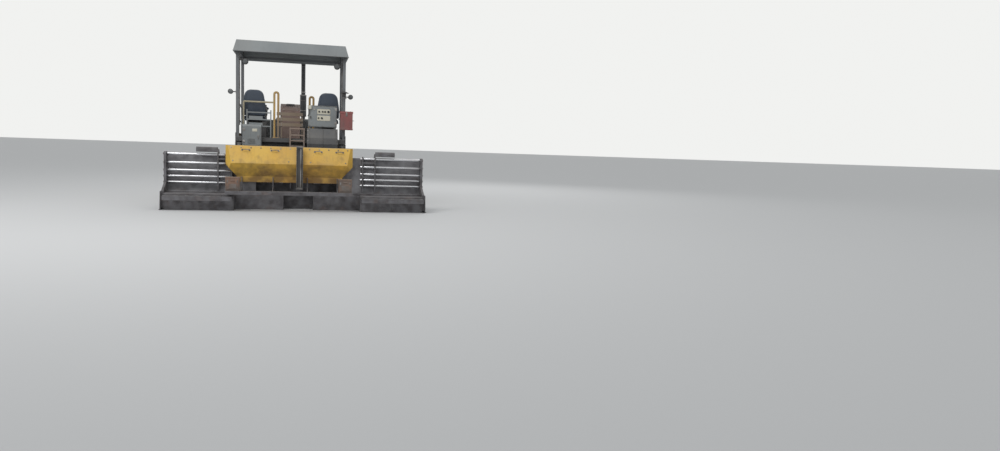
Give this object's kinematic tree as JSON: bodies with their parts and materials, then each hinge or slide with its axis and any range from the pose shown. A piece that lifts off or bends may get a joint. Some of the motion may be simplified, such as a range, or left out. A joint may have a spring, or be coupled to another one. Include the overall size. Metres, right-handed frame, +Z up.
{
  "type": "crawler asphalt paver",
  "caption": "Crawler asphalt paver with a front hopper with folding wings, a canopied operator platform and a rear screed with telescoping side stages.",
  "frame": {"origin": "on the ground, midway between the tracks and on the machine's centre plane", "axes": "+Y is the travel direction, +X the right side, +Z up"},
  "size_m": [5.2006, 6.252, 3.52],
  "materials": {
    "yellow_paint": "weathered gloss machine yellow",
    "grey_paint": "matt grey paint, dusty",
    "dark_paint": "worn dark grey frame paint",
    "black_paint": "semi-gloss black paint",
    "stained_steel": "steel stained with asphalt",
    "worn_steel": "bare steel polished by wear",
    "chrome": "ground and chromed bars",
    "rubber": "scuffed black rubber",
    "vinyl": "black seat vinyl",
    "red_paint": "faded red enamel",
    "lamp_shell": "black lamp housings"
  },
  "bodies": {
    "tractor": {"chassis": "dark_paint", "conveyors": "worn_steel", "undercarriage_left": "dark_paint", "undercarriage_right": "dark_paint", "track_left": "rubber", "track_right": "rubber", "engine_block": "worn_steel", "hood_shell": "grey_paint", "exhaust_stack": "worn_steel", "platform": "black_paint", "fuel_tank": "yellow_paint", "hydraulic_tank": "yellow_paint", "rear_frame": "dark_paint", "rear_rack": "stained_steel", "handrails": "yellow_paint", "seat_left": "vinyl", "seat_right": "vinyl", "consoles": "black_paint", "canopy_roof": "grey_paint", "canopy_posts": "black_paint", "control_cabinet": "grey_paint", "red_box": "red_paint", "tool_rack": "grey_paint", "rear_casing": "dark_paint", "lamps": "lamp_shell", "tow_brackets": "dark_paint", "push_beam": "dark_paint", "front_apron": "rubber"},
    "wing_left": {"wing_left": "yellow_paint"},
    "wing_barrel_left": {"wing_barrel_left": "dark_paint"},
    "wing_rod_left": {"wing_rod_left": "chrome"},
    "auger_left": {"auger_left": "worn_steel"},
    "push_roller_left": {"push_roller_left": "worn_steel"},
    "hood_door_left": {"hood_door_left": "yellow_paint"},
    "inner_stage_left": {"inner_stage_left": "stained_steel", "inner_tubes_left": "chrome"},
    "outer_stage_left": {"outer_stage_left": "stained_steel", "outer_tubes_left": "chrome", "end_gate_left": "stained_steel"},
    "wing_right": {"wing_right": "yellow_paint"},
    "wing_barrel_right": {"wing_barrel_right": "dark_paint"},
    "wing_rod_right": {"wing_rod_right": "chrome"},
    "auger_right": {"auger_right": "worn_steel"},
    "push_roller_right": {"push_roller_right": "worn_steel"},
    "hood_door_right": {"hood_door_right": "yellow_paint"},
    "inner_stage_right": {"inner_stage_right": "stained_steel", "inner_tubes_right": "chrome"},
    "outer_stage_right": {"outer_stage_right": "stained_steel", "outer_tubes_right": "chrome", "end_gate_right": "stained_steel"},
    "lift_barrels": {"lift_barrels": "dark_paint"},
    "lift_rods": {"lift_rods": "chrome"},
    "screed": {"tow_arm_left": "dark_paint", "tow_arm_right": "dark_paint", "base_screed": "stained_steel", "guide_frame": "stained_steel", "screed_cover": "yellow_paint", "centre_post": "black_paint", "main_footboard": "stained_steel", "end_boxes": "stained_steel"}
  },
  "joints": [
    {"name": "wing_fold_left", "type": "hinge", "parent": "tractor", "child": "wing_left", "pos_m": [-0.79, 1.95, 0.588], "axis": [0, 1, 0], "range_deg": [0, 55]},
    {"name": "wing_cylinder_tilt_left", "type": "hinge", "parent": "tractor", "child": "wing_barrel_left", "pos_m": [-0.858, 2.08, 0.372], "axis": [0, 1, 0], "range_deg": [0, 37.49]},
    {"name": "wing_cylinder_stroke_left", "type": "slide", "parent": "wing_barrel_left", "child": "wing_rod_left", "axis": [-0.7446, 0, 0.6675], "range_m": [0, 0.155]},
    {"name": "wing_fold_right", "type": "hinge", "parent": "tractor", "child": "wing_right", "pos_m": [0.79, 1.95, 0.588], "axis": [0, -1, 0], "range_deg": [0, 55]},
    {"name": "wing_cylinder_tilt_right", "type": "hinge", "parent": "tractor", "child": "wing_barrel_right", "pos_m": [0.858, 2.08, 0.372], "axis": [0, -1, 0], "range_deg": [0, 37.49]},
    {"name": "wing_cylinder_stroke_right", "type": "slide", "parent": "wing_barrel_right", "child": "wing_rod_right", "axis": [0.7446, 0, 0.6675], "range_m": [0, 0.155]},
    {"name": "screed_lift", "type": "hinge", "parent": "tractor", "child": "screed", "pos_m": [0, 0.3, 0.52], "axis": [-1, 0, 0], "range_deg": [0, 8]},
    {"name": "lift_cylinder_tilt", "type": "hinge", "parent": "tractor", "child": "lift_barrels", "pos_m": [0, -1.5, 1.33], "axis": [-1, 0, 0], "range_deg": [0, 5.71]},
    {"name": "lift_cylinder_stroke", "type": "slide", "parent": "lift_barrels", "child": "lift_rods", "axis": [0, 0.286, 0.9582], "range_m": [0, 0.275]},
    {"name": "inner_extension_left", "type": "slide", "parent": "screed", "child": "inner_stage_left", "axis": [-1, 0, 0], "range_m": [-0.13, 0.62]},
    {"name": "outer_extension_left", "type": "slide", "parent": "inner_stage_left", "child": "outer_stage_left", "axis": [-1, 0, 0], "range_m": [-0.94, 0]},
    {"name": "auger_turn_left", "type": "hinge", "parent": "tractor", "child": "auger_left", "pos_m": [-0.6, -1.62, 0.4], "axis": [1, 0, 0], "continuous": true},
    {"name": "push_roller_turn_left", "type": "hinge", "parent": "tractor", "child": "push_roller_left", "pos_m": [-0.557, 2.99, 0.48], "axis": [1, 0, 0], "continuous": true},
    {"name": "hood_door_swing_left", "type": "hinge", "parent": "tractor", "child": "hood_door_left", "pos_m": [-0.832, 1.084, 1.375], "axis": [0, 0, -1], "range_deg": [0, 80]},
    {"name": "inner_extension_right", "type": "slide", "parent": "screed", "child": "inner_stage_right", "axis": [1, 0, 0], "range_m": [-0.45, 0.3]},
    {"name": "outer_extension_right", "type": "slide", "parent": "inner_stage_right", "child": "outer_stage_right", "axis": [1, 0, 0], "range_m": [-0.94, 0]},
    {"name": "auger_turn_right", "type": "hinge", "parent": "tractor", "child": "auger_right", "pos_m": [0.6, -1.62, 0.4], "axis": [1, 0, 0], "continuous": true},
    {"name": "push_roller_turn_right", "type": "hinge", "parent": "tractor", "child": "push_roller_right", "pos_m": [0.557, 2.99, 0.48], "axis": [1, 0, 0], "continuous": true},
    {"name": "hood_door_swing_right", "type": "hinge", "parent": "tractor", "child": "hood_door_right", "pos_m": [0.832, 1.084, 1.375], "axis": [0, 0, 1], "range_deg": [0, 80]}
  ],
  "couplings": [
    {"joint": "wing_cylinder_tilt_left", "follows": "wing_fold_left", "ratio": 0.67983},
    {"joint": "wing_cylinder_stroke_left", "follows": "wing_fold_left", "m_per_rad": 0.16097},
    {"joint": "wing_cylinder_tilt_right", "follows": "wing_fold_right", "ratio": 0.67983},
    {"joint": "wing_cylinder_stroke_right", "follows": "wing_fold_right", "m_per_rad": 0.16097},
    {"joint": "lift_cylinder_tilt", "follows": "screed_lift", "ratio": 0.70779},
    {"joint": "lift_cylinder_stroke", "follows": "screed_lift", "m_per_rad": 1.9658}
  ]
}
